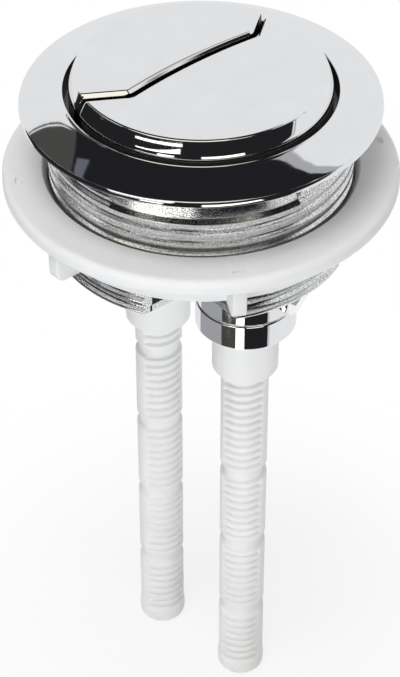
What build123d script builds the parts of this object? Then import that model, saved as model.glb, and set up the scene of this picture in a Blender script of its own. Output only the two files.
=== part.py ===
from build123d import *
import math
import os

# Two-button push actuator for a cistern lid, in millimetres.
# The origin is the centre of the bezel's underside, which sits on the lid.
# +Z points up out of the cistern, and +X from the small button to the large one.

# Bezel and barrel
barrel_r = 30.7         # over the thread crests
barrel_len = 31.6       # from the lid seat to the barrel's lower edge
barrel_wall = 2.1
rim_w = 5.3             # reach of the bezel past the barrel, over the lid
rim_edge = 1.0          # height of the bezel's outer edge above the lid
rim_round = 0.5         # rounding over and under the outer edge
lip_w = 1.4             # reach of the lip inside the barrel
lip_z = 3.3             # top of the lip, round the buttons
lip_round = 0.5
lip_depth = 4.5         # height of the lip's plain bore
crown = 0.3             # bulge of the bezel's sloping top
floor_t = 1.5           # floor across the barrel's lower end
lead_in = 0.4           # taper at the barrel's lower edge
lead_in_h = 0.5
thread_top = 3.2        # plain neck under the lid seat, above the first groove
thread_pitch = 2.58
thread_depth = 0.7
ridge_w = 1.0           # width of a thread ridge at its crest
flank_h = 0.4           # height of a ridge's sloping side

# Shallow windows in the upper thread, and openings at the floor's corners
window_start = -74.0    # degrees from +X
window_span = 73.0
window_depth = 0.9
window_top = 1.0        # below the lid seat
window_h = 6.8
corner_x = 14.8         # a corner opening starts this far from the axis
corner_y = 13.35
corner_h = 10.0

# Guides for the plungers
axis_gap = 25.0         # between the two plunger axes
axis_turn = 8.8         # the line through the axes, in degrees from +X
boss_len = 10.7         # from the floor to the shoulder that the cup meets
boss_step = 1.0         # width of that shoulder
spigot_wall = 1.0
spigot_len = 3.2
cup_wall = 1.15
cup_floor = 2.0
cup_round = 0.4
gusset_t = 2.4
gusset_in = 1.3         # from the barrel's outside to a gusset's upper corner
gusset_w = 2.6          # width of a gusset's lower end, past the boss
gusset_h = 8.7          # from the floor to that end

# Plungers and rods
travel = 7.5            # full press
stem_r = 4.5
collar_t = 2.0
rod_wall = 1.8          # wall of the socket round a rod
socket_out = 12.1       # how far the socket stands out of the cup
socket_round = 0.4
rod_r = 5.1             # over the thread crests
rod_out = 91.7          # how far a rod stands out of its socket
rod_in = 13.9           # thread engaged in the socket
rod_spare = 10.0        # empty bore above the rod
rod_chamfer = 0.6
small_necks = 4         # break-off necks on each rod, counted from the tip
large_necks = 3
neck_pitch = 21.0
neck_r = 4.4
neck_h = 3.4
tip_r = 5.3
tip_len = 3.6
tip_round = 1.5

# Springs
wire_r = 0.35
wire_sides = 6
spring_turns = 4.5
spring_spare = 2.05     # left between the closed coils and the collar at full press

# Buttons
button_gap = 1.1        # round the buttons, in the lip
button_wall = 1.8
bevel_w = 1.2           # width and height of the sloping border
bevel_h = 3.2
button_proud = 4.1      # top edge of the buttons above the lip
button_dome = 0.5
edge_round = 0.9
skirt_h = 12.6          # from the top edge to the bottom of the skirt
split_x = -2.95         # middle of the split between the buttons
split_half = 16.4       # from there to each bend of the split
split_bow = 0.85        # bow of the split between its bends
split_bend = 36.0       # slant of the split's straight ends, in degrees from Y
split_turn = 2.7        # turn of the whole split about the axis, in degrees
split_gap = 1.2
split_round = 4.0       # radius of the split's two bends
socket_len = 14.0       # socket under a button, for the plunger's stem
socket_wall = 1.6

# Ring nut
nut_top = 14.4          # its top face below the lid seat
nut_t = 3.8             # thickness of its flange
nut_w = 6.4             # reach of its flange past the hub
nut_round = 1.3
mouth_w = 1.0           # widening at the mouth of the thread
mouth_depth = 1.6
hub_wall = 2.6
hub_h = 9.8             # height of thread, from the top face
lug_in = 1.3            # from the flange's edge to a lug's outer side
lug_t = 2.9
lug_h = 10.6            # from the top face to a lug's lower end
lug_round = 2.0
lug_spread = 59.0       # angle between the two lugs of a pair
lug_turn = -57.7        # middle of the first pair, in degrees from +X
dimple_in = 3.0         # from the flange's edge to the middle of a dimple
dimple_count = 4
dimple_len = 2.2
dimple_w = 1.1
dimple_depth = 0.7

# Clearances
press_gap = 0.05        # pressed together
run_gap = 0.1           # sliding
screw_gap = 0.1         # rod thread in its socket
nut_gap = 0.3           # nut thread on the barrel
stop_gap = 0.3          # plunger collar under the floor
spring_gap = 0.1        # spring under the collar
wire_gap = 0.3          # either side of a spring's wire
same_point = 0.001      # points nearer than this are one point

# Places that follow from the sizes above
rim_r = barrel_r + rim_w
barrel_in = barrel_r - barrel_wall
lip_r = barrel_in - lip_w
socket_r = rod_r + screw_gap + rod_wall
coil_r = socket_r + wire_gap + wire_r
spring_bore_r = coil_r + wire_r + wire_gap
spigot_r = spring_bore_r + spigot_wall
boss_r = spigot_r + boss_step
floor_z = -barrel_len
floor_top = floor_z + floor_t
shoulder_z = floor_z - boss_len
collar_top = floor_z - stop_gap
collar_low = collar_top - collar_t
spring_low = collar_low - travel - spring_turns * 2 * wire_r - spring_spare
cup_bottom = spring_low - cup_floor
socket_low = cup_bottom - socket_out
rod_low = socket_low - rod_out
rod_top = socket_low + rod_in
bore_top = rod_top + rod_spare
button_r = lip_r - button_gap
button_edge = lip_z + button_proud
skirt_low = button_edge - skirt_h
stem_top = button_edge - button_wall
socket_mouth = stem_top - socket_len
axis_points = {
    "small": Vector(-axis_gap / 2, 0).rotate(Axis.Z, axis_turn),
    "large": Vector(axis_gap / 2, 0).rotate(Axis.Z, axis_turn),
}
neck_counts = {"small": small_necks, "large": large_necks}


def corner(start, end, toward, bulge):
    """A quarter-round from start to end that bends towards a sharp corner."""
    middle = [(a + b) / 2 + (c - (a + b) / 2) * bulge for a, b, c in zip(start, end, toward)]
    return ThreePointArc(start, tuple(middle), end)


def round_corner(at, before, after, radius):
    """Quarter-round of a square corner, with the runs given as unit steps from the corner."""
    start = (at[0] + before[0] * radius, at[1] + before[1] * radius)
    end = (at[0] + after[0] * radius, at[1] + after[1] * radius)
    return corner(start, end, at, math.sqrt(2) - 1)


def turned(path):
    """Solid of revolution about Z from edges and points in the (radius, height) plane.

    Consecutive items are joined by straight lines, and the outline is closed.
    """
    edges = []
    first = None
    last = None
    for item in path:
        if isinstance(item, tuple):
            start = end = Vector(*item)
        else:
            start, end = item @ 0, item @ 1
        if last is not None and (start - last).length > same_point:
            edges.append(Line(last, start))
        if not isinstance(item, tuple):
            edges.append(item)
        if first is None:
            first = start
        last = end
    edges.append(Line(last, first))
    return revolve(Plane.XZ * make_face(edges), Axis.Z, 360)


def post(radius, low, high):
    """Upright cylinder between two heights."""
    return Pos(0, 0, (low + high) / 2) * Cylinder(radius, high - low)


def rib(outline, thickness, angle):
    """Flat plate on the radial plane at an angle, from a face in (radius, height)."""
    plate = extrude(Plane.XZ * outline, thickness / 2, both=True)
    return Rot(0, 0, angle) * plate


def thread_grooves():
    """Outline of the barrel's thread as plain rings, from the lowest groove up."""
    root_r = barrel_r - thread_depth
    count = int((barrel_len - lead_in_h - thread_top + ridge_w / 2) // thread_pitch)
    path = []
    for index in range(count - 1, -1, -1):
        high = -thread_top - index * thread_pitch
        low = high - thread_pitch + ridge_w
        path += [(barrel_r, low), (root_r, low + flank_h), (root_r, high - flank_h), (barrel_r, high)]
    return path


def bezel_body():
    lip_bottom = lip_z - lip_depth
    slope_low = (rim_r, rim_edge)
    slope_high = (lip_r + lip_round, lip_z)
    rise = Vector(*slope_high) - Vector(*slope_low)
    bulge = Vector(-rise.Y, rise.X).normalized() * -crown
    middle = (Vector(*slope_low) + Vector(*slope_high)) / 2 + bulge
    body = turned([
        (barrel_r, 0),
        round_corner((rim_r, 0), (-1, 0), (0, 1), rim_round),
        ThreePointArc(slope_low, (middle.X, middle.Y), slope_high),
        round_corner((lip_r, lip_z), (1, 0), (0, -1), lip_round),
        (lip_r, lip_bottom),
        (barrel_in, lip_bottom),
        (barrel_in, floor_top),
        (0, floor_top),
        (0, floor_z),
        (barrel_r - lead_in, floor_z),
        (barrel_r, floor_z + lead_in_h),
        *thread_grooves(),
    ])
    body = fillet(body.edges().filter_by(lambda e: abs(e.center().Z - rim_edge) < same_point), rim_round)
    for axis in axis_points.values():
        body += Pos(axis.X, axis.Y) * post(boss_r, shoulder_z, floor_top)
        body += Pos(axis.X, axis.Y) * post(spigot_r, shoulder_z - spigot_len, shoulder_z)
    for angle in (axis_turn, axis_turn + 180):
        gusset = Polygon(
            (axis_gap / 2, floor_z),
            (barrel_r - gusset_in, floor_z),
            (axis_gap / 2 + boss_r + gusset_w, floor_z - gusset_h),
            (axis_gap / 2, floor_z - gusset_h),
            align=None,
        )
        body += rib(gusset, gusset_t, angle)
    for axis in axis_points.values():
        body -= Pos(axis.X, axis.Y) * post(spring_bore_r, shoulder_z - spigot_len, floor_z)
        body -= Pos(axis.X, axis.Y) * post(stem_r + run_gap, floor_z, floor_top)
    for angle in (window_start, window_start + 180):
        window_low = -window_top - window_h
        sector = Cylinder(rim_r, window_h, arc_size=window_span, align=(Align.NONE, Align.NONE, Align.MIN))
        sector = Pos(0, 0, window_low) * Rot(0, 0, angle) * sector
        body -= sector - post(barrel_r - window_depth, window_low, -window_top)
    for side_x in (-1, 1):
        for side_y in (-1, 1):
            block = Box(rim_r - corner_x, rim_r - corner_y, 2 * corner_h)
            middle_x = side_x * (rim_r + corner_x) / 2
            middle_y = side_y * (rim_r + corner_y) / 2
            body -= Pos(middle_x, middle_y, floor_z) * block
    return body


def guide_cup():
    bore = spigot_r + press_gap
    cup_r = bore + cup_wall
    hole = socket_r + run_gap
    return turned([
        (bore, shoulder_z),
        round_corner((cup_r, shoulder_z), (-1, 0), (0, -1), cup_round),
        round_corner((cup_r, cup_bottom), (0, 1), (-1, 0), cup_round),
        (hole, cup_bottom),
        (hole, spring_low),
        (bore, spring_low),
    ])


def plunger():
    collar_r = spring_bore_r - run_gap
    bore = rod_r + screw_gap
    return turned([
        (0, stem_top),
        (stem_r, stem_top),
        (stem_r, collar_top),
        (collar_r, collar_top),
        (collar_r, collar_low),
        (socket_r, collar_low),
        round_corner((socket_r, socket_low), (0, 1), (-1, 0), socket_round),
        (bore, socket_low),
        (bore, bore_top),
        (0, bore_top),
    ])


def rod(necks):
    depth = rod_r - neck_r
    path = [(0, rod_top), (rod_r - rod_chamfer, rod_top), (rod_r, rod_top - rod_chamfer)]
    for count in range(necks, 0, -1):
        middle = rod_low + count * neck_pitch
        path += [
            (rod_r, middle + neck_h / 2),
            (neck_r, middle + neck_h / 2 - depth),
            (neck_r, middle - neck_h / 2 + depth),
            (rod_r, middle - neck_h / 2),
        ]
    path += [
        (rod_r, rod_low + tip_len),
        (tip_r, rod_low + tip_len - (tip_r - rod_r)),
        round_corner((tip_r, rod_low), (0, 1), (-1, 0), tip_round),
        (0, rod_low),
    ]
    return turned(path)


def spring():
    """Round-wire helix whose two ends are ground flat."""
    height = collar_low - spring_gap - spring_low
    path = Helix(height / spring_turns, height, coil_r)
    section = Plane(origin=path @ 0, z_dir=path % 0) * RegularPolygon(wire_r, wire_sides)
    coil = Pos(0, 0, spring_low) * sweep(section, path=path, is_frenet=True)
    return coil & post(spring_bore_r, spring_low, spring_low + height)


def button_form(inset):
    """Round body of both buttons together, made smaller by an inset."""
    drop = 0 if inset == 0 else button_wall
    top_r = button_r - bevel_w - inset
    edge = button_edge - inset
    flank = button_r - inset
    dome_r = (top_r ** 2 + button_dome ** 2) / (2 * button_dome)
    half = math.asin(top_r / dome_r) / 2
    dome = ThreePointArc(
        (0, edge + button_dome),
        (dome_r * math.sin(half), edge + button_dome - dome_r * (1 - math.cos(half))),
        (top_r, edge),
    )
    return turned([dome, (flank, edge - bevel_h), (flank, skirt_low - drop), (0, skirt_low - drop)])


def button_side(side, inset):
    """Everything on one side of the split: side is 1 for the large button, -1 for the small."""
    away = split_gap / 2 + inset
    bow_r = (split_half ** 2 + split_bow ** 2) / (2 * split_bow)
    bow_x = split_x + bow_r
    middle_r = bow_r - side * away
    slant = math.radians(split_bend)
    run = Vector(-math.sin(slant), math.cos(slant))
    start = Vector(split_x + split_bow, split_half) + Vector(run.Y, -run.X) * (side * away)
    arm = start - Vector(bow_x, 0)
    ahead = arm.dot(run)
    bend = start + run * (math.sqrt(ahead ** 2 - arm.length ** 2 + middle_r ** 2) - ahead)
    far = bend + run * (2 * rim_r)
    outer_x = side * 4 * rim_r
    region = make_face([
        ThreePointArc((bend.X, -bend.Y), (bow_x - middle_r, 0), (bend.X, bend.Y)),
        Polyline((bend.X, bend.Y), (far.X, far.Y), (outer_x, far.Y), (outer_x, -far.Y), (far.X, -far.Y),
                 (bend.X, -bend.Y)),
    ])
    bends = region.vertices().filter_by(lambda v: abs(abs(v.Y) - bend.Y) < same_point)
    region = fillet(bends, split_round + side * away)
    turned_low = Rot(0, 0, split_turn) * Pos(0, 0, skirt_low - skirt_h)
    return turned_low * extrude(region, 3 * skirt_h, dir=(0, 0, 1))


def button(name, side):
    axis = axis_points[name]
    cap = button_form(0) & button_side(side, 0)
    bevel_low = button_edge - bevel_h
    cap = fillet(cap.edges().filter_by(lambda e: e.center().Z > bevel_low - edge_round), edge_round)
    cap -= button_form(button_wall) & button_side(side, button_wall)
    cap += Pos(axis.X, axis.Y) * post(stem_r + press_gap + socket_wall, socket_mouth, button_edge)
    cap -= Pos(axis.X, axis.Y) * post(stem_r + press_gap, socket_mouth, stem_top)
    return cap


def ring_nut():
    bore = barrel_r + nut_gap
    mouth_r = bore + mouth_w
    hub_r = bore + hub_wall
    nut_r = hub_r + nut_w
    lug_r = nut_r - lug_in
    top = -nut_top
    under = top - nut_t
    low = top - hub_h
    lug_low = top - lug_h
    nut = turned([
        (mouth_r, top),
        round_corner((nut_r, top), (-1, 0), (0, -1), nut_round),
        round_corner((nut_r, under), (0, 1), (-1, 0), nut_round),
        (hub_r, under),
        (hub_r, low),
        (bore, low),
        (bore, top - mouth_depth),
    ])
    sunk = (bore + hub_r) / 2
    lug_face = make_face([
        Line((sunk, under), (lug_r, under)),
        Line((lug_r, under), (lug_r, lug_low + lug_round)),
        round_corner((lug_r, lug_low), (0, 1), (-1, 0), lug_round),
        Line((lug_r - lug_round, lug_low), (sunk, lug_low)),
        Line((sunk, lug_low), (sunk, under)),
    ])
    first_lug = lug_turn + lug_spread / 2
    for pair in (0, 180):
        nut += rib(lug_face, lug_t, pair + first_lug)
        nut += rib(lug_face, lug_t, pair + first_lug - lug_spread)
    for count in range(dimple_count):
        angle = first_lug + count * 360 / dimple_count
        slot = Pos(0, 0, top - dimple_depth) * extrude(SlotOverall(dimple_len, dimple_w), 2 * dimple_depth)
        nut -= Rot(0, 0, angle) * Pos(nut_r - dimple_in, 0) * Rot(0, 0, 90) * slot
    return nut


nodes = {
    "bezel_body": bezel_body(),
    "ring_nut": ring_nut(),
    "small_button": button("small", -1),
    "large_button": button("large", 1),
}
for name, axis in axis_points.items():
    place = Pos(axis.X, axis.Y)
    nodes[name + "_guide_cup"] = place * guide_cup()
    nodes[name + "_plunger"] = place * plunger()
    nodes[name + "_spring"] = place * spring()
    nodes[name + "_rod"] = place * rod(neck_counts[name])

os.makedirs("parts", exist_ok=True)
for name, shape in nodes.items():
    export_step(shape, f"parts/{name}.step")
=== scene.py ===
import math
from functools import partial

import bmesh
import bpy
import numpy as np
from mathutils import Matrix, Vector


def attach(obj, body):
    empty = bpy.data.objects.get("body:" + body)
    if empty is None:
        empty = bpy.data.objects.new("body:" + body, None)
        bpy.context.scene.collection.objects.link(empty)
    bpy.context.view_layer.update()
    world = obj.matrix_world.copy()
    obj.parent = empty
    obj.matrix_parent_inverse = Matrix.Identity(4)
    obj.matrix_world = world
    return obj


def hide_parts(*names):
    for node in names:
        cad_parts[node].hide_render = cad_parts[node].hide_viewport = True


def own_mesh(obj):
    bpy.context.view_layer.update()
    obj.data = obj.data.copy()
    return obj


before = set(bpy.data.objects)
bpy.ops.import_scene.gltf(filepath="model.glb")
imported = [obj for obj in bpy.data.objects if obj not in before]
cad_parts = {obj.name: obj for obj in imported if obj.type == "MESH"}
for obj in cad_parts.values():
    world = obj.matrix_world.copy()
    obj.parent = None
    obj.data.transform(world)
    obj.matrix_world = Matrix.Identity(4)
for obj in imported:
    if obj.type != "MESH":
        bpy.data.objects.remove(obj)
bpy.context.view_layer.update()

# Sizes are in millimetres, and meshes are scaled to metres when they are made.
MM = 0.001

# Bezel and barrel
barrel_r, barrel_in, barrel_len = 30.7, 28.6, 31.6
rim_r, rim_edge, rim_round = 36.0, 1.0, 1.3
lip_r, lip_z, lip_round, lip_low = 27.2, 3.3, 0.5, -1.2
rim_foot_in, rim_foot_round, flange_under = 0.01, 0.15, -0.05
rim_side_in, rim_side_drop = 0.07, 0.41
rim_bevel, rim_lift, rim_bevel_round = 0.25, 0.1, 0.1
bead_w, bead_h, bead_round, bore_round = 0.7, 0.11, 0.25, 0.2
crown, crown_start, crown_steps = 0.3, 0.06, 28
floor_t, floor_overlap, stem_clear = 1.5, 0.4, 0.1
lead_in, lead_in_h, lead_in_round = 0.4, 0.5, 0.15
window_start, window_span = -74.0, 73.0
window_depth, window_top, window_low = 0.9, -1.0, -7.8
corner_x, corner_y, corner_h = 14.8, 13.35, 10.0
thread_top, thread_pitch, thread_depth = -3.2, 2.58, 0.7
ridge_w, flank_h, groove_count, ridge_round = 1.0, 0.4, 11, 0.12

# Guides, plungers and rods
axis_half, axis_turn = 12.5, 8.8
boss_r, boss_sink, shoulder_z, shoulder_round = 10.3, 0.2, -42.3, 0.2
spigot_r, spigot_low, spring_bore_r = 9.3, -45.5, 8.3
cup_r, cup_low, cup_floor, cup_round = 10.5, -48.6, 2.0, 0.4
cup_bore_clear, cup_hole_clear, cup_hole_round = 0.05, 0.1, 0.2
gusset_t, gusset_top_r, gusset_low_r, gusset_low = 2.4, 29.4, 25.4, -40.3
gusset_sink, gusset_edge = 0.4, 0.25
stem_r, stem_top, stem_round = 4.5, 5.6, 0.4
collar_r, collar_top, collar_low, collar_round = 8.2, -31.9, -33.9, 0.3
socket_r, socket_low, socket_round = 7.0, -60.7, 0.4
rod_bore, rod_bore_top, rod_bore_round = 5.2, -36.8, 0.3
rod_r, rod_top, rod_low = 5.1, -46.8, -152.4
rod_pitch, rod_thread, groove_share, crest_share = 2.1, 0.6, 0.22, 0.6
strip_angles, strip_half, strip_fade = {"small": 70.0, "large": 45.0}, 32.0, 12.0
neck_counts, neck_pitch, neck_r, neck_h = {"small": 4, "large": 3}, 21.0, 4.4, 3.4
tip_r, tip_len, tip_round, tip_fade = 5.3, 3.6, 1.5, 0.8
wire_r, spring_turns, spring_low = 0.35, 4.5, -46.6
spring_side_clear, spring_top_clear, spring_flat = 0.3, 0.1, 0.35

# Buttons
button_r, button_edge, button_dome = 26.1, 7.4, 0.5
bevel_w, bevel_h, bevel_bulge = 1.2, 3.2, 0.05
roll_w, roll_drop, roll_end, bevel_start = 0.6, 0.11, 0.15, 0.165
top_round, foot_round = 0.35, 3.8
button_wall, skirt_low = 1.8, -5.2
split_x, split_half, split_bow = -2.95, 16.4, 0.85
split_gap, split_round, least_round = 1.2, 4.0, 0.05
split_chamfer, chamfer_round, chamfer_foot, tip_cut = 0.68, 0.8, 0.1, 0.9
split_bend, split_turn = math.radians(36.0), math.radians(2.7)
socket_mouth, button_socket_r, socket_edge = -8.4, 6.15, 0.3
socket_sink, socket_clear = 0.3, 0.05
fan_x = {"large": 20.0, "small": -14.5}

# Ring nut
nut_top, nut_t, nut_r, nut_round = -14.4, 3.8, 40.0, 1.3
nut_bore, mouth_r, mouth_depth, mouth_round = 31.0, 32.0, 1.6, 0.3
hub_r, hub_low, hub_root, hub_round = 33.6, -24.2, 0.6, 0.5
lug_r, lug_low, lug_t, lug_round, lug_edge = 38.7, -25.0, 2.9, 2.0, 0.35
lug_spread, lug_turn, lug_sink = 59.0, -57.7, 0.3
dimple_r, dimple_len, dimple_w, dimple_depth = 37.0, 2.2, 1.1, 0.7
dimple_out, dimple_in, dimple_zone, dimple_arc = 0.12, 0.16, 1.2, 3.0

# Camera, fitted to the photograph
view_azimuth, view_elevation = 50.8, 39.6
view_distance, view_height, view_lens = 485.96, -60.92, 120.70
view_shift, view_sensor = -0.0016, 36.0

# Mesh: columns and rows, and points that end a straight wall close to its rounds
ring_columns, barrel_step, least_columns = 360, math.radians(1.2), 4
rod_rows, rod_columns, coil_steps, wire_columns = 720, 72, 48, 10
nut_step, fine_step = 1.25, 0.1
dome_steps, roll_steps, arc_count = 30, 8, 217
bow_steps, turn_steps, slant_steps, tip_steps = 28, 12, 18, 9
fan_steps, fan_tip = 26, 1e-3
wall_edge, same_height = 0.05, 0.01
weld_gap, speck = 1e-7, 1e-8

floor_z = -barrel_len
axes = {}
for size, turn in (("large", axis_turn), ("small", axis_turn + 180)):
    angle = math.radians(turn)
    axes[size] = (axis_half * math.cos(angle), axis_half * math.sin(angle))


# Shapes, each a pair of vertices and faces

def smooth_step(x, low, high):
    """0 below low, 1 above high, and an even curve between."""
    t = np.clip((np.asarray(x, float) - low) / (high - low), 0, 1)
    return t * t * (3 - 2 * t)


def rounded(corners, steps=6):
    """Points along (radius, height) corners; a third number is the radius of a corner's round."""
    points = []
    for index, (x, y, *extra) in enumerate(corners):
        if not extra:
            points.append((x, y))
            continue
        at = Vector((x, y))
        back = (Vector(corners[index - 1][:2]) - at).normalized()
        ahead = (Vector(corners[(index + 1) % len(corners)][:2]) - at).normalized()
        half = back.angle(ahead) / 2
        centre = at + (back + ahead).normalized() * (extra[0] / math.sin(half))
        first = at + back * (extra[0] / math.tan(half)) - centre
        last = at + ahead * (extra[0] / math.tan(half)) - centre
        turn = math.pi - 2 * half
        for step in range(steps + 1):
            share = step / steps
            arm = first * math.sin((1 - share) * turn) + last * math.sin(share * turn)
            points.append(tuple(centre + arm / math.sin(turn)))
    return points


def grid(points, around=True, along=False):
    """Quads over a rows by columns array of points, closed round the columns or the rows."""
    rows, columns = points.shape[:2]
    index = np.arange(rows * columns).reshape(rows, columns)
    if around:
        index = np.hstack([index, index[:, :1]])
    if along:
        index = np.vstack([index, index[:1]])
    quads = np.stack([index[:-1, :-1], index[:-1, 1:], index[1:, 1:], index[1:, :-1]], axis=-1)
    return points.reshape(-1, 3), quads.reshape(-1, 4).tolist()


def capped(points):
    """Quads over rows of points, with a flat face on the first and the last row."""
    skin, faces = grid(points)
    columns = points.shape[1]
    faces.append(list(range(columns)))
    faces.append(list(range(len(skin) - columns, len(skin))))
    return skin, faces


def lathe(profile, columns=128, centre=(0, 0), closed=True):
    """Profile of (radius, height) points turned about an upright axis."""
    profile = np.array(profile, float)
    angle = np.linspace(0, 2 * math.pi, columns, endpoint=False)
    radius, height = profile[:, :1], profile[:, 1:]
    points = np.stack([
        centre[0] + radius * np.cos(angle),
        centre[1] + radius * np.sin(angle),
        height + 0 * angle,
    ], axis=-1)
    return grid(points, along=closed)


def plate(outline, thickness, angle, edge):
    """Flat plate with rounded edges on a radial plane, from (radius, height) points."""
    work = bmesh.new()
    side = [work.verts.new((x, -thickness / 2, z)) for x, z in outline]
    face = work.faces.new(side)
    grown = bmesh.ops.extrude_face_region(work, geom=[face])["geom"]
    moved = [v for v in grown if isinstance(v, bmesh.types.BMVert)]
    bmesh.ops.translate(work, verts=moved, vec=(0, thickness, 0))
    bmesh.ops.recalc_face_normals(work, faces=work.faces)
    bmesh.ops.bevel(
        work, geom=work.edges[:], offset=edge, segments=3, profile=0.5, affect="EDGES")
    cos, sin = math.cos(math.radians(angle)), math.sin(math.radians(angle))
    work.verts.index_update()
    points = [
        (v.co.x * cos - v.co.y * sin, v.co.x * sin + v.co.y * cos, v.co.z)
        for v in work.verts
    ]
    faces = [[v.index for v in f.verts] for f in work.faces]
    work.free()
    return np.array(points), faces


def slab(outline, holes, low, high):
    """Flat slab between two heights, from an (x, y) outline with holes."""
    work = bmesh.new()
    for loop in [outline, *holes]:
        ring = [work.verts.new((x, y, low)) for x, y in loop]
        for here, there in zip(ring, ring[1:] + ring[:1]):
            work.edges.new((here, there))
    filled = bmesh.ops.triangle_fill(
        work, edges=work.edges[:], use_beauty=True, normal=(0, 0, -1))["geom"]
    faces = [f for f in filled if isinstance(f, bmesh.types.BMFace)]
    grown = bmesh.ops.extrude_face_region(work, geom=faces)["geom"]
    moved = [v for v in grown if isinstance(v, bmesh.types.BMVert)]
    bmesh.ops.translate(work, verts=moved, vec=(0, 0, high - low))
    bmesh.ops.recalc_face_normals(work, faces=work.faces)
    work.verts.index_update()
    points = [tuple(v.co) for v in work.verts]
    faces = [[v.index for v in f.verts] for f in work.faces]
    work.free()
    return np.array(points), faces


def piece(name, shapes, material, body, node, sharp=32.0):
    """One object from several shapes, in metres, that rides on a body and stands for a node."""
    points, faces, slots = [], [], []
    for index, (shape_points, shape_faces) in enumerate(shapes):
        start = sum(len(p) for p in points)
        points.append(np.asarray(shape_points, float))
        faces += [[start + i for i in f] for f in shape_faces]
        slots += [index] * len(shape_faces)
    mesh = bpy.data.meshes.new(name)
    mesh.from_pydata((np.vstack(points) * MM).tolist(), [], faces)
    materials = material if isinstance(material, list) else [material] * len(shapes)
    for used in dict.fromkeys(materials):
        mesh.materials.append(used)
    places = [mesh.materials.find(used.name) for used in materials]
    mesh.polygons.foreach_set("material_index", [places[i] for i in slots])
    work = bmesh.new()
    work.from_mesh(mesh)
    bmesh.ops.remove_doubles(work, verts=work.verts, dist=weld_gap)
    bmesh.ops.dissolve_degenerate(work, edges=work.edges, dist=speck)
    bmesh.ops.recalc_face_normals(work, faces=work.faces)
    work.to_mesh(mesh)
    work.free()
    mesh.shade_smooth()
    mesh.set_sharp_from_angle(angle=math.radians(sharp))
    made = bpy.data.objects.new(name, mesh)
    bpy.context.scene.collection.objects.link(made)
    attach(made, body)
    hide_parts(node)
    return made


# Materials, with sizes and heights in millimetres

noise_low, noise_high = 0.3, 0.7
ripple_size, ripple_h, ripple_strength = 6.0, 0.01, 0.15
cloud_size, skin_size, skin_strength = 9.0, 0.35, 0.5
plastic_scatter = (1.0, 0.95, 0.85)
patch_size, speck_low, speck_high = 5.0, 0.40, 0.58
mark_size, mark_stretch, mark_h, mark_strength = 0.4, 6, 0.02, 0.4


def shader(name, metallic=0.0):
    """New material with its node tree, its main shader and object coordinates."""
    made = bpy.data.materials.new(name)
    made.use_nodes = True
    main = made.node_tree.nodes["Principled BSDF"]
    main.inputs["Metallic"].default_value = metallic
    place = made.node_tree.nodes.new("ShaderNodeTexCoord")
    return made, made.node_tree, main, place.outputs["Object"]


def noise(tree, place, size, detail=3.0, stretch=(1, 1, 1)):
    """Noise with features of about the given size in millimetres."""
    scaled = tree.nodes.new("ShaderNodeMapping")
    scaled.inputs["Scale"].default_value = [s / (size * MM) for s in stretch]
    tree.links.new(place, scaled.inputs["Vector"])
    made = tree.nodes.new("ShaderNodeTexNoise")
    made.inputs["Scale"].default_value = 1.0
    made.inputs["Detail"].default_value = detail
    tree.links.new(scaled.outputs["Vector"], made.inputs["Vector"])
    return made.outputs["Fac"]


def ramp(tree, value, dark, light, low=noise_low, high=noise_high):
    """Colour from a 0 to 1 value, between two colours."""
    made = tree.nodes.new("ShaderNodeValToRGB")
    for stop, place, colour in zip(made.color_ramp.elements, (low, high), (dark, light)):
        stop.position, stop.color = place, (*colour, 1)
    tree.links.new(value, made.inputs["Fac"])
    return made.outputs["Color"]


def maths(tree, operation, *values):
    """One step of arithmetic on node outputs or plain numbers."""
    made = tree.nodes.new("ShaderNodeMath")
    made.operation = operation
    for socket, value in zip(made.inputs, values):
        if isinstance(value, (int, float)):
            socket.default_value = value
        else:
            tree.links.new(value, socket)
    return made.outputs["Value"]


def step_up(tree, value, low, high, first=0.0, last=1.0, kind="SMOOTHSTEP"):
    """Value that goes from first to last while another goes from low to high."""
    made = tree.nodes.new("ShaderNodeMapRange")
    made.interpolation_type = kind
    made.inputs["From Min"].default_value, made.inputs["From Max"].default_value = low, high
    made.inputs["To Min"].default_value, made.inputs["To Max"].default_value = first, last
    tree.links.new(value, made.inputs["Value"])
    return made.outputs["Result"]


def spread(tree, value, low, high):
    """Value from a noise, between two limits."""
    return step_up(tree, value, noise_low, noise_high, low, high, "LINEAR")


def bump(tree, value, height, strength, below=None):
    """Surface relief of a height in millimetres, on top of another relief if one is given."""
    made = tree.nodes.new("ShaderNodeBump")
    made.inputs["Distance"].default_value = height * MM
    made.inputs["Strength"].default_value = strength
    tree.links.new(value, made.inputs["Height"])
    if below is not None:
        tree.links.new(below, made.inputs["Normal"])
    return made.outputs["Normal"]


def chrome(name, dark, light, smooth, rough, relief, grain_size):
    """Plated metal: a slow ripple, patchy gloss and a grain."""
    made, tree, main, place = shader(name, metallic=1.0)
    slow, grain = noise(tree, place, ripple_size), noise(tree, place, grain_size, detail=2.0)
    tree.links.new(ramp(tree, slow, dark, light), main.inputs["Base Color"])
    tree.links.new(spread(tree, grain, smooth, rough), main.inputs["Roughness"])
    ripple = bump(tree, slow, ripple_h, ripple_strength)
    tree.links.new(bump(tree, grain, relief, 1.0, ripple), main.inputs["Normal"])
    return made


def plastic(name, dark, light, gloss, matt, relief, glow, depth):
    """Moulded plastic: cloudy tint, uneven gloss, a fine skin and a little light to a depth."""
    made, tree, main, place = shader(name)
    cloud, skin = noise(tree, place, cloud_size), noise(tree, place, skin_size, detail=4.0)
    tree.links.new(ramp(tree, cloud, dark, light), main.inputs["Base Color"])
    tree.links.new(spread(tree, skin, gloss, matt), main.inputs["Roughness"])
    tree.links.new(bump(tree, skin, relief, skin_strength), main.inputs["Normal"])
    main.inputs["Subsurface Weight"].default_value = glow
    main.inputs["Subsurface Radius"].default_value = plastic_scatter
    main.inputs["Subsurface Scale"].default_value = depth * MM
    return made


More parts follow.
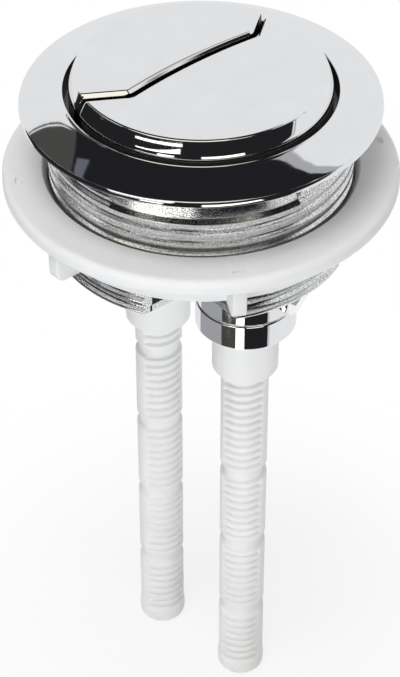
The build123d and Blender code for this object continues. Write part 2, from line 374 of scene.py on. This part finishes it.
def speckled(name, dark, light, smooth, rough, relief, grain_size):
    """Plated metal on a spark-roughened mould: dark and bright specks with a fine relief."""
    made, tree, main, place = shader(name, metallic=1.0)
    slow, grain = noise(tree, place, patch_size), noise(tree, place, grain_size, detail=4.0)
    specks = ramp(tree, grain, dark, light, speck_low, speck_high)
    tree.links.new(specks, main.inputs["Base Color"])
    tree.links.new(spread(tree, slow, smooth, rough), main.inputs["Roughness"])
    tree.links.new(bump(tree, grain, relief, 1.0), main.inputs["Normal"])
    return made


def drawn_wire(name, dark, light, smooth, rough):
    """Spring wire with fine drawing marks."""
    made, tree, main, place = shader(name, metallic=1.0)
    marks = noise(tree, place, mark_size, stretch=(1, 1, mark_stretch))
    tree.links.new(ramp(tree, marks, dark, light), main.inputs["Base Color"])
    tree.links.new(spread(tree, marks, smooth, rough), main.inputs["Roughness"])
    tree.links.new(bump(tree, marks, mark_h, mark_strength), main.inputs["Normal"])
    return made


mirror = chrome(
    "mirror_chrome", (0.86, 0.865, 0.87), (0.89, 0.895, 0.90), 0.02, 0.05, 0.0006, 0.5)
frosted = speckled(
    "frosted_chrome", (0.50, 0.505, 0.51), (0.94, 0.945, 0.95), 0.05, 0.13, 0.022, 0.28)
satin = chrome(
    "satin_chrome", (0.48, 0.48, 0.49), (0.55, 0.55, 0.56), 0.40, 0.52, 0.004, 0.5)
# Near-black chrome for the walls along the split, which is painted shade for the slit between the
# buttons.
shade = chrome(
    "shade_chrome", (0.03, 0.03, 0.032), (0.05, 0.05, 0.052), 0.40, 0.50, 0.004, 0.5)
# Darker chrome for the lip's bore and the barrel's inside: its dark base colour is painted shade
# for these recesses, and its higher roughness is a duller plating.
dull_painted_shade = chrome(
    "dull_painted_shade_chrome", (0.22, 0.22, 0.225), (0.30, 0.30, 0.305), 0.30, 0.45, 0.01, 0.35)
nut_white = plastic(
    "nut_white", (0.80, 0.805, 0.815), (0.83, 0.835, 0.845), 0.34, 0.46, 0.01, 0.1, 1.2)
milky = plastic(
    "milky_white", (0.87, 0.875, 0.875), (0.90, 0.905, 0.905), 0.36, 0.50, 0.015, 0.15, 0.5)
steel = drawn_wire("spring_wire", (0.46, 0.46, 0.47), (0.62, 0.62, 0.63), 0.22, 0.4)


# Bezel body

def bezel_ring():
    """Flange and lip down to the barrel's inner wall, then the lip's bore."""
    low, high = Vector((rim_r, rim_edge)), Vector((lip_r + lip_round, lip_z))
    chord = high - low
    out = Vector((chord.y, -chord.x)).normalized()
    slope = []
    slope_end = 1 - (bead_w - lip_round) / (low.x - high.x)
    for share in np.linspace(crown_start, slope_end, crown_steps):
        slope.append(tuple(low + chord * share + out * (4 * crown * share * (1 - share))))
    edge_z, bead_z = rim_edge + rim_lift, slope[-1][1] + bead_h
    corners = [
        (barrel_in, lip_low),
        (barrel_in, flange_under),
        (rim_r - rim_foot_in, 0.0, rim_foot_round),
        (rim_r - rim_side_in, edge_z - rim_side_drop, rim_round),
        (rim_r - rim_bevel, edge_z, rim_bevel_round),
        *slope,
        (lip_r + bead_w - bead_round, bead_z, bead_round),
        (lip_r, bead_z, bore_round),
        (lip_r, lip_low),
    ]
    points, faces = lathe(rounded(corners, steps=8), columns=ring_columns)
    bore = slice(-2 * ring_columns, -ring_columns)
    return [(points, faces[:bore.start] + faces[bore.stop:]), (points, faces[bore])]


def barrel_edges(radius):
    """Angles where the barrel's windows and corner openings start and end, over a full turn."""
    near, far = math.asin(corner_y / radius), math.acos(corner_x / radius)
    start, span = math.radians(window_start), math.radians(window_span)
    half_turn = [start, -far, -near, start + span, near, far]
    return half_turn + [a + math.pi for a in half_turn] + [start + 2 * math.pi]


def thread_profile():
    """Radii and heights down the barrel's outside: plain neck, ridges and tapered lower edge."""
    root_r = barrel_r - thread_depth
    corners = [(barrel_r, 0.0)]
    for index in range(groove_count):
        high = thread_top - index * thread_pitch
        low = high - thread_pitch + ridge_w
        corners += [
            (barrel_r, high, ridge_round),
            (root_r, high - flank_h, ridge_round),
            (root_r, low + flank_h, ridge_round),
            (barrel_r, low, ridge_round),
        ]
    corners += [
        (barrel_r, floor_z + lead_in_h, lead_in_round),
        (barrel_r - lead_in, floor_z),
    ]
    return np.array(rounded(corners, steps=3))


def barrel():
    """Threaded wall with its windows and corner openings: outer and end faces, then inner faces."""
    profile = thread_profile()
    stops = [0.0, window_top, window_low, floor_z + corner_h, floor_z]
    window_band, corner_band = 1, 3
    bands = []
    for high, low in zip(stops, stops[1:]):
        inside = [z for z in profile[:, 1] if low + same_height < z < high - same_height]
        bands.append(np.array([high, *inside, low]))

    # Spans between the angles of barrel_edges that hold a window or a corner opening
    window_spans, open_spans = (0, 1, 2, 6, 7, 8), (1, 4, 7, 10)
    ends, in_ends = barrel_edges(barrel_r), barrel_edges(barrel_in)
    span_count = len(ends) - 1
    columns = []
    for span, (start, end) in enumerate(zip(ends, ends[1:])):
        count = max(least_columns, round((end - start) / barrel_step))
        columns += [(span, t) for t in np.linspace(0, 1, count + 1)]
    rows = [(band, z) for band, zs in enumerate(bands) for z in zs]
    row_band, heights = np.array([b for b, _ in rows]), np.array([z for _, z in rows])
    outer = np.zeros((len(rows), len(columns), 3))
    inner = np.zeros((len(rows), len(columns), 3))
    for c, (span, t) in enumerate(columns):
        angle = ends[span] + t * (ends[span + 1] - ends[span])
        turn_in = in_ends[span] + t * (in_ends[span + 1] - in_ends[span])
        beside_opening = any((span + near) % span_count in open_spans for near in (-1, 0, 1))
        for band in range(len(bands)):
            pick = np.flatnonzero(row_band == band)
            z = heights[pick]
            radius = np.interp(-z, -profile[:, 1], profile[:, 0])
            if band == window_band and span in window_spans:
                radius = np.full_like(z, barrel_r - window_depth)
            turn = np.full_like(radius, angle)
            if beside_opening:
                local = np.array([barrel_edges(r) for r in radius])
                turn = local[:, span] + t * (local[:, span + 1] - local[:, span])
            outer[pick, c] = np.stack([radius * np.cos(turn), radius * np.sin(turn), z], axis=-1)
            inner[pick, c, 0] = barrel_in * math.cos(turn_in)
            inner[pick, c, 1] = barrel_in * math.sin(turn_in)
            inner[pick, c, 2] = z

    points = np.vstack([outer.reshape(-1, 3), inner.reshape(-1, 3)])
    out = np.arange(len(rows) * len(columns)).reshape(len(rows), len(columns))
    back = out + out.size
    span_of = np.array([s for s, _ in columns])
    is_open = np.isin(span_of, open_spans)
    opening_row, last_row = int(np.argmax(row_band == corner_band)), len(rows) - 1
    faces, inner_faces = [], []
    for c in range(len(columns)):
        d = (c + 1) % len(columns)
        hole = is_open[c] and is_open[d] and span_of[c] == span_of[d]
        last = opening_row if hole else last_row
        for r in range(last):
            faces.append([out[r, c], out[r, d], out[r + 1, d], out[r + 1, c]])
        levels = [0, opening_row] if hole else [0, opening_row, last_row]
        for r, s in zip(levels, levels[1:]):
            inner_faces.append([back[r, c], back[s, c], back[s, d], back[r, d]])
        faces.append([out[last, c], out[last, d], back[last, d], back[last, c]])
        if is_open[c] != is_open[d]:
            edge = c if is_open[d] else d
            cheek = [out[r, edge] for r in range(opening_row, len(rows))]
            faces.append(cheek + [back[last_row, edge], back[opening_row, edge]])
    return [(points, faces), (points, inner_faces)]


def floor_plate():
    """Floor across the barrel's lower end, with its corner openings and the holes for the stems."""
    reach, hole_r = barrel_in + floor_overlap, stem_r + stem_clear
    near, far = math.asin(corner_y / reach), math.acos(corner_x / reach)
    outline = []
    for quarter in range(4):
        turn = quarter * math.pi / 2
        half = near if quarter % 2 == 0 else math.pi / 2 - far
        for angle in np.linspace(turn - half, turn + half, 24):
            outline.append((reach * math.cos(angle), reach * math.sin(angle)))
        side_x = 1 if quarter in (0, 3) else -1
        side_y = 1 if quarter in (0, 1) else -1
        outline.append((side_x * corner_x, side_y * corner_y))
    hole = np.linspace(0, 2 * math.pi, 64, endpoint=False)
    holes = [
        [(x + hole_r * math.cos(a), y + hole_r * math.sin(a)) for a in hole]
        for x, y in axes.values()
    ]
    return slab(outline, holes, floor_z, floor_z + floor_t)


def boss(centre):
    """Guide boss under the floor, with the spigot that carries the cup."""
    return lathe(rounded([
        (spring_bore_r, floor_z + boss_sink),
        (boss_r, floor_z + boss_sink),
        (boss_r, shoulder_z + shoulder_round + wall_edge),
        (boss_r, shoulder_z, shoulder_round),
        (spigot_r, shoulder_z),
        (spigot_r, spigot_low),
        (spring_bore_r, spigot_low),
    ]), columns=128, centre=centre)


gusset = [
    (axis_half + spring_bore_r + gusset_sink, floor_z + boss_sink),
    (gusset_top_r, floor_z + boss_sink),
    (gusset_low_r, gusset_low),
    (axis_half + spring_bore_r + gusset_sink, gusset_low),
]
piece(
    "bezel",
    [*bezel_ring(), *barrel(), floor_plate()]
    + [boss(centre) for centre in axes.values()]
    + [plate(gusset, gusset_t, turn, gusset_edge) for turn in (axis_turn, axis_turn + 180)],
    # The lip's bore and the barrel's inner faces take the darker chrome, which is painted shade for
    # these recesses.
    [mirror, dull_painted_shade, frosted, dull_painted_shade, frosted, mirror, mirror, mirror, mirror],
    "housing", "bezel_body",
)


# Guide cups, plungers, rods and springs

def guide_cup(centre):
    """Cup on the boss; points close to the rounds keep the wall's shading straight."""
    bore, hole = spigot_r + cup_bore_clear, socket_r + cup_hole_clear
    return lathe(rounded([
        (bore, shoulder_z),
        (cup_r, shoulder_z, cup_round),
        (cup_r, shoulder_z - cup_round - wall_edge),
        (cup_r, cup_low + cup_round + wall_edge),
        (cup_r, cup_low, cup_round),
        (hole, cup_low, cup_hole_round),
        (hole, cup_low + cup_floor),
        (bore, cup_low + cup_floor),
    ]), columns=160, centre=centre)


def plunger(centre):
    """Stem, collar and the socket for the rod."""
    return lathe(rounded([
        (0, stem_top),
        (stem_r, stem_top, stem_round),
        (stem_r, collar_top),
        (collar_r, collar_top, collar_round),
        (collar_r, collar_low, collar_round),
        (socket_r, collar_low),
        (socket_r, socket_low, socket_round),
        (rod_bore, socket_low, rod_bore_round),
        (rod_bore, rod_bore_top),
        (0, rod_bore_top),
    ]), columns=96, centre=centre)


def rod(size, centre):
    """Threaded rod with two plain strips along it, break-off necks and a plain tip."""
    height = np.linspace(rod_top, rod_low, rod_rows)[:, None]
    angle = np.linspace(0, 2 * math.pi, rod_columns, endpoint=False)[None, :]
    phase = (height / rod_pitch - angle / (2 * math.pi)) % 1.0
    ridge = smooth_step(1 - abs(2 * phase - 1), groove_share, crest_share)
    from_strip = abs((np.degrees(angle) - strip_angles[size] + 90) % 180 - 90)
    depth = rod_thread * smooth_step(from_strip, strip_half, strip_half + strip_fade)
    radius = rod_r - depth * (1 - ridge)
    for count in range(1, neck_counts[size] + 1):
        away = abs(height - (rod_low + count * neck_pitch))
        neck = neck_r + np.clip(away - (neck_h / 2 - (rod_r - neck_r)), 0, None)
        radius = np.minimum(radius, np.where(away < neck_h / 2, neck, rod_r))
    plain = smooth_step(height, rod_low + tip_len, rod_low + tip_len + tip_fade)
    radius = radius * plain + tip_r * (1 - plain)
    end = np.clip(rod_low + tip_round - height, 0, tip_round)
    radius = radius - (tip_round - np.sqrt(tip_round ** 2 - end ** 2))
    points = np.stack([
        centre[0] + radius * np.cos(angle),
        centre[1] + radius * np.sin(angle),
        height + 0 * angle,
    ], axis=-1)
    return capped(points)


def spring(centre):
    """Round wire coil from the cup's floor to the collar, with flatter turns at its ends."""
    coil_r, top = socket_r + spring_side_clear + wire_r, collar_low - spring_top_clear
    turns = np.linspace(0, spring_turns, int(spring_turns * coil_steps))
    even = turns / spring_turns
    rise = smooth_step(turns, 0.0, spring_turns) * spring_flat + even * (1 - spring_flat)
    low, high = spring_low + wire_r, top - wire_r
    height = low + (high - low) * rise
    angle = 2 * math.pi * turns
    across = np.linspace(0, 2 * math.pi, wire_columns, endpoint=False)
    radius = coil_r + wire_r * np.cos(across)[None, :]
    points = np.stack([
        centre[0] + radius * np.cos(angle)[:, None],
        centre[1] + radius * np.sin(angle)[:, None],
        height[:, None] + wire_r * np.sin(across)[None, :],
    ], axis=-1)
    return capped(points)


for size, centre in axes.items():
    piece(size + "_cup", [guide_cup(centre)], mirror, "housing", size + "_guide_cup")
    piece(
        size + "_stem", [plunger(centre)], milky,
        size + "_press", size + "_plunger",
    )
    piece(
        size + "_threaded_rod", [rod(size, centre)], milky,
        size + "_adjuster", size + "_rod", sharp=50.0,
    )
    coil = piece(
        size + "_coil", [spring(centre)], steel,
        "housing", size + "_spring", sharp=60.0,
    )
    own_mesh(coil)


# Buttons

def cap_height(radius):
    """Height of the buttons' top by distance from the middle: dome, rolled edge, bevel, foot."""
    dome_r = button_r - bevel_w
    roll_r = dome_r - roll_w
    dome = np.linspace(0, roll_r, dome_steps)
    border = np.linspace(roll_r, dome_r - roll_end, roll_steps)[1:]
    corners = []
    for x in np.concatenate([dome, border]):
        roll = max(x - roll_r, 0) / roll_w
        top = button_edge + button_dome * (1 - (x / dome_r) ** 2)
        corners.append((x, top - roll_drop * roll ** 2))
    high = Vector((dome_r, button_edge - bevel_start))
    low = Vector((button_r, button_edge - bevel_h))
    fall = low - high
    out = Vector((-fall.y, fall.x)).normalized()
    corners.append((*high, top_round))
    for share in np.linspace(0.2, 0.8, 7):
        corners.append(tuple(high + fall * share + out * (4 * bevel_bulge * share * (1 - share))))
    corners += [(*low, foot_round), (button_r, skirt_low)]
    line = np.array(rounded(corners, steps=10))[:-1]
    return np.interp(radius, line[:, 0], line[:, 1])


def edge_drop(gap):
    """How far the top falls towards a button's edge along the split, by distance from that edge."""
    far = 2 * split_chamfer
    line = np.array(rounded([
        (0, far), (0, split_chamfer, chamfer_foot), (split_chamfer, 0, chamfer_round), (far, 0),
    ], steps=6))[1:]
    return np.interp(gap, line[:, 0], line[:, 1])


bow_r = (split_half ** 2 + split_bow ** 2) / (2 * split_bow)
bow_centre = Vector((split_x + bow_r, 0))
split_run = Vector((-math.sin(split_bend), math.cos(split_bend)))
split_normal = Vector((split_run.y, -split_run.x))
split_corner = Vector((split_x + split_bow, split_half))


def split_line(side, inset, radius):
    """Half of a button's edge along the split, from the middle to the circle of a radius."""
    away = split_gap / 2 + inset
    base = split_corner - split_normal * split_round
    arm = base - bow_centre
    ahead = arm.dot(split_run)
    turn_centre = base + split_run * (
        math.sqrt(ahead ** 2 - arm.length_squared + (bow_r + split_round) ** 2) - ahead)
    turn_r = max(split_round + side * away, least_round)
    middle_r = bow_r - side * away
    meet = math.atan2(turn_centre.y, turn_centre.x - bow_centre.x)
    points = [
        (bow_centre.x + middle_r * math.cos(a), middle_r * math.sin(a))
        for a in np.linspace(math.pi, meet, bow_steps)
    ]
    for a in np.linspace(meet - math.pi, split_bend, turn_steps)[1:]:
        points.append((turn_centre.x + turn_r * math.cos(a), turn_centre.y + turn_r * math.sin(a)))
    start = Vector(points[-1])
    along = start.dot(split_run)
    reach = -along + math.sqrt(along ** 2 - start.length_squared + radius ** 2)
    for length in np.linspace(0, reach - tip_cut, slant_steps)[1:]:
        points.append(tuple(start + split_run * length))
    tip = start + split_run * reach
    turn = math.atan2(tip.y, tip.x) - side * tip_cut / radius
    last, end = Vector(points[-1]), Vector((radius * math.cos(turn), radius * math.sin(turn)))
    for share in np.linspace(0, 1, tip_steps)[1:].tolist():
        rest = 1 - share
        points.append(tuple(last * rest ** 2 + tip * (2 * share * rest) + end * share ** 2))
    return np.array(points)


def split_distance(points, side):
    """How far points of a button lie from its edge along the split."""
    x, y = points[:, 0], points[:, 1]
    bow = bow_r - np.hypot(x - bow_centre.x, y)
    slant_x, slant_y = x - split_corner.x, abs(y) - split_corner.y
    slant = slant_x * split_normal.x + slant_y * split_normal.y
    return side * np.maximum(bow, slant) - split_gap / 2


def button_loop(side, inset):
    """Closed outline of a button, inset from its edge, and each point's distance from the split."""
    radius = button_r - inset
    upper = split_line(side, inset, radius)
    split = np.vstack([upper[::-1], upper[1:] * (1, -1)])
    turn = math.atan2(upper[-1, 1], upper[-1, 0])
    if side > 0:
        angle = np.linspace(-turn, turn, arc_count + 3)
    else:
        angle = np.linspace(2 * math.pi - turn, turn, arc_count + 3)
    arc = radius * np.stack([np.cos(angle), np.sin(angle)], axis=-1)
    loop = np.vstack([arc[1:-1], split])
    return loop, split_distance(loop, side)


# Distances from a button's edge at which its top has points, closest where the top bends most
cap_insets = np.unique(np.round(np.concatenate([
    [0, 0.01, 0.03, 0.06, 0.1], np.arange(0.14, 1.0, 0.06), np.arange(1.02, 1.4, 0.03),
    np.arange(1.4, 2.0, 0.07), [2.1, 2.3, 2.6, 3.0],
]), 3))


def button(size, side):
    """Cap with a domed top and a hollow inside: top, skirt, wall along the split and socket."""
    middle = np.array([fan_x[size], 0.0])
    loops = []

    def level(points, height):
        loops.append(np.column_stack([points, np.broadcast_to(height, len(points))]))

    ceiling = button_edge - button_wall
    inner, _ = button_loop(side, button_wall)
    level(middle + (inner - middle) * fan_tip, ceiling)
    level(inner, ceiling)
    level(inner, skirt_low)
    rim, _ = button_loop(side, 0.0)
    level(rim, skirt_low)
    for inset in cap_insets:
        points, gap = button_loop(side, inset)
        level(points, cap_height(np.hypot(points[:, 0], points[:, 1])) - edge_drop(gap))
    last = loops[-1][:, :2]
    for share in np.linspace(1, 0, fan_steps)[1:]:
        points = middle + (last - middle) * max(share, fan_tip)
        level(points, cap_height(np.hypot(points[:, 0], points[:, 1])))
    skin, faces = capped(np.array(loops))
    cos, sin = math.cos(split_turn), math.sin(split_turn)
    skin = skin @ np.array([(cos, sin, 0), (-sin, cos, 0), (0, 0, 1)])
    columns = len(last)
    wall_start, wall_end = 3 * columns, 4 * columns
    skirt = faces[wall_start:wall_start + arc_count]
    split_wall = faces[wall_start + arc_count:wall_end]
    del faces[wall_start:wall_end]
    socket = lathe(rounded([
        (stem_r + socket_clear, socket_mouth),
        (button_socket_r, socket_mouth, socket_edge),
        (button_socket_r, ceiling + socket_sink),
        (stem_r + socket_clear, ceiling + socket_sink),
    ]), columns=96, centre=axes[size])
    return [(skin, faces), (skin, skirt), (skin, split_wall), socket]


for size, side in (("large", 1), ("small", -1)):
    piece(
        # The walls along the split take the near-black chrome, which is painted shade for the slit.
        size + "_cap", button(size, side), [mirror, satin, shade, mirror],
        size + "_press", size + "_button", sharp=40.0,
    )


# Ring nut

def nut_ring():
    """Flanged ring with a widened mouth, and a shallow dimple every quarter turn."""
    first = lug_turn + lug_spread / 2
    base = np.arange(0, 360, nut_step)
    near = np.arange(-dimple_arc, dimple_arc, fine_step)
    fine = np.concatenate([first + 90 * k + near for k in range(4)])
    angle = np.radians(np.unique(np.round(np.concatenate([base, fine % 360]), 4)))
    radii = np.arange(dimple_r - dimple_zone, dimple_r + dimple_zone, fine_step)
    across = [(r, nut_top) for r in radii]
    profile = np.array(rounded([
        (nut_bore, hub_low, mouth_round),
        (nut_bore, nut_top - mouth_depth),
        (mouth_r, nut_top, mouth_round),
        *across,
        (nut_r, nut_top, nut_round),
        (nut_r, nut_top - nut_t, nut_round),
        (hub_r, nut_top - nut_t, hub_root),
        (hub_r, hub_low, hub_round),
    ], steps=8))
    radius, height = profile[:, :1], profile[:, 1:] + 0 * angle[None, :]
    for k in range(4):
        turn = angle[None, :] - math.radians(first + 90 * k)
        along, out = radius * np.sin(turn), radius * np.cos(turn) - dimple_r
        half = (dimple_len - dimple_w) / 2
        gap = np.hypot(np.clip(abs(along) - half, 0, None), out) - dimple_w / 2
        sunk = smooth_step(-gap, -dimple_out, dimple_in) * dimple_depth
        on_top = (abs(height - nut_top) < same_height) & (np.cos(turn) > 0)
        height = height - np.where(on_top, sunk, 0)
    points = np.stack([radius * np.cos(angle), radius * np.sin(angle), height], axis=-1)
    return grid(points, along=True)


lug_in, lug_top = (nut_bore + hub_r) / 2, nut_top - nut_t + lug_sink
lug_outline = rounded([
    (lug_in, lug_top),
    (lug_r, lug_top),
    (lug_r, lug_low, lug_round),
    (lug_in, lug_low),
])
lug_turns = [pair + lug_turn + half * lug_spread / 2 for pair in (0, 180) for half in (-1, 1)]
lugs = [plate(lug_outline, lug_t, turn, lug_edge) for turn in lug_turns]
piece("ring", [nut_ring()] + lugs, nut_white, "clamp_nut", "ring_nut", sharp=38.0)


# Stage, light and camera; the studio's angles are in degrees, and its floor is in metres

room_left, screen_left, screen_right = -127.0, -58.0, -23.5
skyline_side, skyline_low, skyline_high = 50.0, 90.0, 150.0
lamp_side_soft, lamp_level_soft = 0.7, 0.5
lamp_tint = (0.96, 0.98, 1.0)
floor_reach, floor_core, floor_least = 0.10, 0.02, 0.8
floor_gap = 0.05

azimuth, elevation = math.radians(view_azimuth), math.radians(view_elevation)
right = Vector((math.cos(azimuth), math.sin(azimuth), 0))
away = Vector((-math.sin(azimuth), math.cos(azimuth), 0))
up = Vector((0, 0, 1))


def toward(sideways, deep, high):
    """World direction from parts to the right, away from the camera and up."""
    return (right * sideways + away * deep + up * high).normalized()


def studio_world():
    """White sweep behind the object, dark room with lamps at the camera, white for the camera."""
    world = bpy.data.worlds.new("studio")
    world.use_nodes = True
    bpy.context.scene.world = world
    tree = world.node_tree
    tree.nodes.clear()
    place = tree.nodes.new("ShaderNodeTexCoord").outputs["Generated"]

    def along(direction):
        made = tree.nodes.new("ShaderNodeVectorMath")
        made.operation = "DOT_PRODUCT"
        made.inputs[1].default_value = direction
        tree.links.new(place, made.inputs[0])
        return made.outputs["Value"]

    calc, step = partial(maths, tree), partial(step_up, tree)

    def between(value, low, high, soft=1.0):
        above, under = step(value, low - soft, low + soft), step(value, high + soft, high - soft)
        return calc("MULTIPLY", above, under)

    def layer(below, colour, share):
        made = tree.nodes.new("ShaderNodeMix")
        made.data_type = "RGBA"
        made.inputs["B"].default_value = (*colour, 1)
        tree.links.new(share, made.inputs["Factor"])
        if isinstance(below, tuple):
            made.inputs["A"].default_value = (*below, 1)
        else:
            tree.links.new(below, made.inputs["A"])
        return made.outputs["Result"]

    # Turn and climb start at the camera's side, sideways and rise are plain angles.
    to_right, to_camera, to_top = along(right), along(-away), along(up)
    turn = calc("DEGREES", calc("ARCTAN2", to_right, to_camera))
    climb = calc("DEGREES", calc("ARCTAN2", to_top, to_camera))
    sideways = calc("DEGREES", calc("ARCSINE", to_right))
    rise = calc("DEGREES", calc("ARCSINE", to_top))

    def curve(value, *points):
        """Straight lines through points of (sideways angle, climb angle)."""
        made = tree.nodes.new("ShaderNodeFloatCurve")
        line = made.mapping.curves[0]
        wide, tall = 2 * skyline_side, skyline_high - skyline_low
        places = [((x + skyline_side) / wide, (y - skyline_low) / tall) for x, y in points]
        line.points[0].location, line.points[-1].location = places[0], places[-1]
        for x, y in places[1:-1]:
            line.points.new(x, y)
        for point in line.points:
            point.handle_type = "VECTOR"
        made.mapping.update()
        share = step(value, -skyline_side, skyline_side, kind="LINEAR")
        tree.links.new(share, made.inputs["Value"])
        return step(made.outputs["Value"], 0.0, 1.0, skyline_low, skyline_high, "LINEAR")

    wall_end = step(rise, -40.0, 12.0, 50.0, 88.0, "LINEAR")
    past_wall = calc("SUBTRACT", turn, wall_end)
    room = calc("MULTIPLY", step(turn, room_left, room_left + 2.0), step(past_wall, 1.0, -1.0))
    lower = step(rise, -24.0, -29.0)
    colour = layer((0.84, 0.845, 0.855), (0.016, 0.016, 0.018), room)
    colour = layer(colour, (0.30, 0.30, 0.31), between(past_wall, 2.0, 3.5, 0.5))
    for left, end, grey in (
        (room_left, screen_left, (0.05, 0.051, 0.054)),
        (screen_left, screen_right, (0.06, 0.056, 0.05)),
    ):
        colour = layer(colour, grey, calc("MULTIPLY", lower, between(turn, left, end)))
    table = calc("MULTIPLY", step(rise, -36.9, -37.9), between(turn, room_left, screen_left))
    colour = layer(colour, (0.36, 0.365, 0.38), table)

    # The dark ceiling ends at a skyline, with a grey strip at its right and screens at its left.
    skyline = curve(
        sideways, (-skyline_side, 139.5), (-16, 139.5), (0, 134), (8, 130), (14.7, 121),
        (20.4, 116), (skyline_side, 113),
    )
    inside = calc("SUBTRACT", skyline, climb)
    ceiling = calc("MULTIPLY", between(inside, 0.0, 100.0, 0.4), step(sideways, 36.0, 32.0))
    strip = calc("MULTIPLY", between(inside, -4.0, 0.0, 0.5), step(sideways, 4.0, 7.0))
    screen = calc("SUBTRACT", climb, calc("MULTIPLY", sideways, 1.45))
    grey_screen = calc("MULTIPLY", step(inside, 0.0, 0.3), step(screen, 155.0, 156.0))
    blue_screen = calc("MULTIPLY", between(screen, 149.0, 154.0, 0.5), step(climb, 125.0, 123.5))
    colour = layer(colour, (0.42, 0.425, 0.44), strip)
    colour = layer(colour, (0.015, 0.015, 0.018), ceiling)
    colour = layer(colour, (0.067, 0.066, 0.062), grey_screen)
    colour = layer(colour, (0.13, 0.135, 0.17), calc("MULTIPLY", blue_screen, ceiling))
    edge_line = calc("MULTIPLY", between(inside, 0.7, 1.3, 0.2), step(sideways, -13.0, -15.0))
    colour = layer(colour, (0.8, 0.8, 0.8), edge_line)

    # Lamps, each between two sideways angles and two climb angles; the last number tilts a lamp.
    lamps = [
        (-36.0, 14.0, 46.0, 96.0, (1.1, 1.04, 0.92), 0.0),
        (12.0, 33.0, 44.0, 68.0, (1.1, 1.04, 0.92), 0.0),
        (26.0, 40.0, 92.0, 109.0, (0.8, 0.74, 0.6), 0.0),
        (-46.0, -36.0, 92.0, 132.0, (0.9, 0.9, 0.92), 0.0),
        (-54.0, -15.0, 10.8, 13.8, (2.4, 2.38, 2.3), 0.0),
        (-53.0, -16.5, 8.0, 12.4, (2.4, 2.38, 2.3), 0.227),
        (-34.0, -21.0, -27.0, -8.0, (1.8, 1.8, 1.75), 0.0),
        (0.5, 34.0, -29.0, -5.0, (1.8, 1.78, 1.7), 0.0),
        (-18.0, -3.5, -55.0, -37.0, (2.2, 2.15, 2.05), 0.0),
        (-42.0, -20.0, -28.6, -20.0, (2.2, 2.15, 2.05), 0.59),
    ]
    for left, end, low, high, tint, tilt in lamps:
        level = calc("SUBTRACT", climb, calc("MULTIPLY", sideways, tilt))
        across = between(sideways, left, end, lamp_side_soft)
        share = calc("MULTIPLY", across, between(level, low, high, lamp_level_soft))
        colour = layer(colour, tint, share)
    seen = tree.nodes.new("ShaderNodeLightPath").outputs["Is Camera Ray"]
    colour = layer(colour, (1.0, 1.0, 1.0), seen)
    light = tree.nodes.new("ShaderNodeBackground")
    tree.links.new(colour, light.inputs["Color"])
    out = tree.nodes.new("ShaderNodeOutputWorld")
    tree.links.new(light.outputs["Background"], out.inputs["Surface"])


def lamp(name, direction, distance, side, power):
    """Soft lamp that faces the object; the chrome shows the studio's own lamps instead."""
    data = bpy.data.lights.new(name, "AREA")
    data.shape, data.size, data.size_y, data.energy = "RECTANGLE", side, side, power
    data.color = lamp_tint
    made = bpy.data.objects.new(name, data)
    made.location = direction * distance
    made.rotation_mode = "QUATERNION"
    made.rotation_quaternion = (-direction).to_track_quat("-Z", "Y")
    made.visible_glossy = False
    bpy.context.scene.collection.objects.link(made)


def studio_floor():
    """Pale round floor under the rods that looks white to the camera and keeps a faint shadow."""
    low = (rod_low - floor_gap) * MM
    angles = np.linspace(0, 2 * math.pi, 96, endpoint=False)
    ring = [(floor_reach * math.cos(a), floor_reach * math.sin(a), low) for a in angles]
    mesh = bpy.data.meshes.new("floor")
    mesh.from_pydata(ring, [], [list(range(len(ring)))])
    made, tree, main, place = shader("pale_floor")
    tint = ramp(tree, noise(tree, place, 60.0), (0.86, 0.86, 0.86), (0.88, 0.88, 0.88))
    tree.links.new(tint, main.inputs["Base Color"])
    main.inputs["Roughness"].default_value = 0.9
    white = tree.nodes.new("ShaderNodeEmission")
    flat = tree.nodes.new("ShaderNodeVectorMath")
    flat.operation = "MULTIPLY"
    flat.inputs[1].default_value = (1, 1, 0)
    tree.links.new(place, flat.inputs[0])
    size = tree.nodes.new("ShaderNodeVectorMath")
    size.operation = "LENGTH"
    tree.links.new(flat.outputs["Vector"], size.inputs[0])
    fade = step_up(tree, size.outputs["Value"], floor_core, floor_reach, floor_least, 1.0)
    path = tree.nodes.new("ShaderNodeLightPath")
    seen = path.outputs["Is Camera Ray"]
    for kind in ("Is Glossy Ray", "Is Transmission Ray"):
        seen = maths(tree, "MAXIMUM", seen, path.outputs[kind])
    share = maths(tree, "MULTIPLY", seen, fade)
    mixed = tree.nodes.new("ShaderNodeMixShader")
    tree.links.new(share, mixed.inputs["Fac"])
    tree.links.new(main.outputs["BSDF"], mixed.inputs[1])
    tree.links.new(white.outputs["Emission"], mixed.inputs[2])
    tree.links.new(mixed.outputs["Shader"], tree.nodes["Material Output"].inputs["Surface"])
    mesh.materials.append(made)
    floor = bpy.data.objects.new("floor", mesh)
    bpy.context.scene.collection.objects.link(floor)


studio_world()
studio_floor()
for name, direction, distance, side, power in (
    ("overhead", (-0.18, -0.3, 0.94), 1.1, 0.6, 6.5),
    ("front", (-0.25, -0.95, 0.05), 1.2, 0.8, 4.9),
    ("below", (-0.15, -0.8, -0.58), 1.2, 0.8, 4.0),
    ("right_fill", (0.9, -0.3, -0.5), 1.2, 0.8, 1.3),
    ("left_fill", (-0.9, -0.2, -0.3), 1.2, 0.8, 1.4),
):
    lamp(name, toward(*direction), distance, side, power)

camera = bpy.data.objects.new("camera", bpy.data.cameras.new("camera"))
camera.data.lens, camera.data.shift_x = view_lens, view_shift
camera.data.sensor_width = view_sensor
back = toward(0, -math.cos(elevation), math.sin(elevation))
camera.location = back * (view_distance * MM) + Vector((0, 0, view_height * MM))
camera.rotation_mode = "QUATERNION"
camera.rotation_quaternion = (-back).to_track_quat("-Z", "Y")
bpy.context.scene.collection.objects.link(camera)
bpy.context.scene.camera = camera
bpy.context.scene.view_settings.view_transform = "Standard"
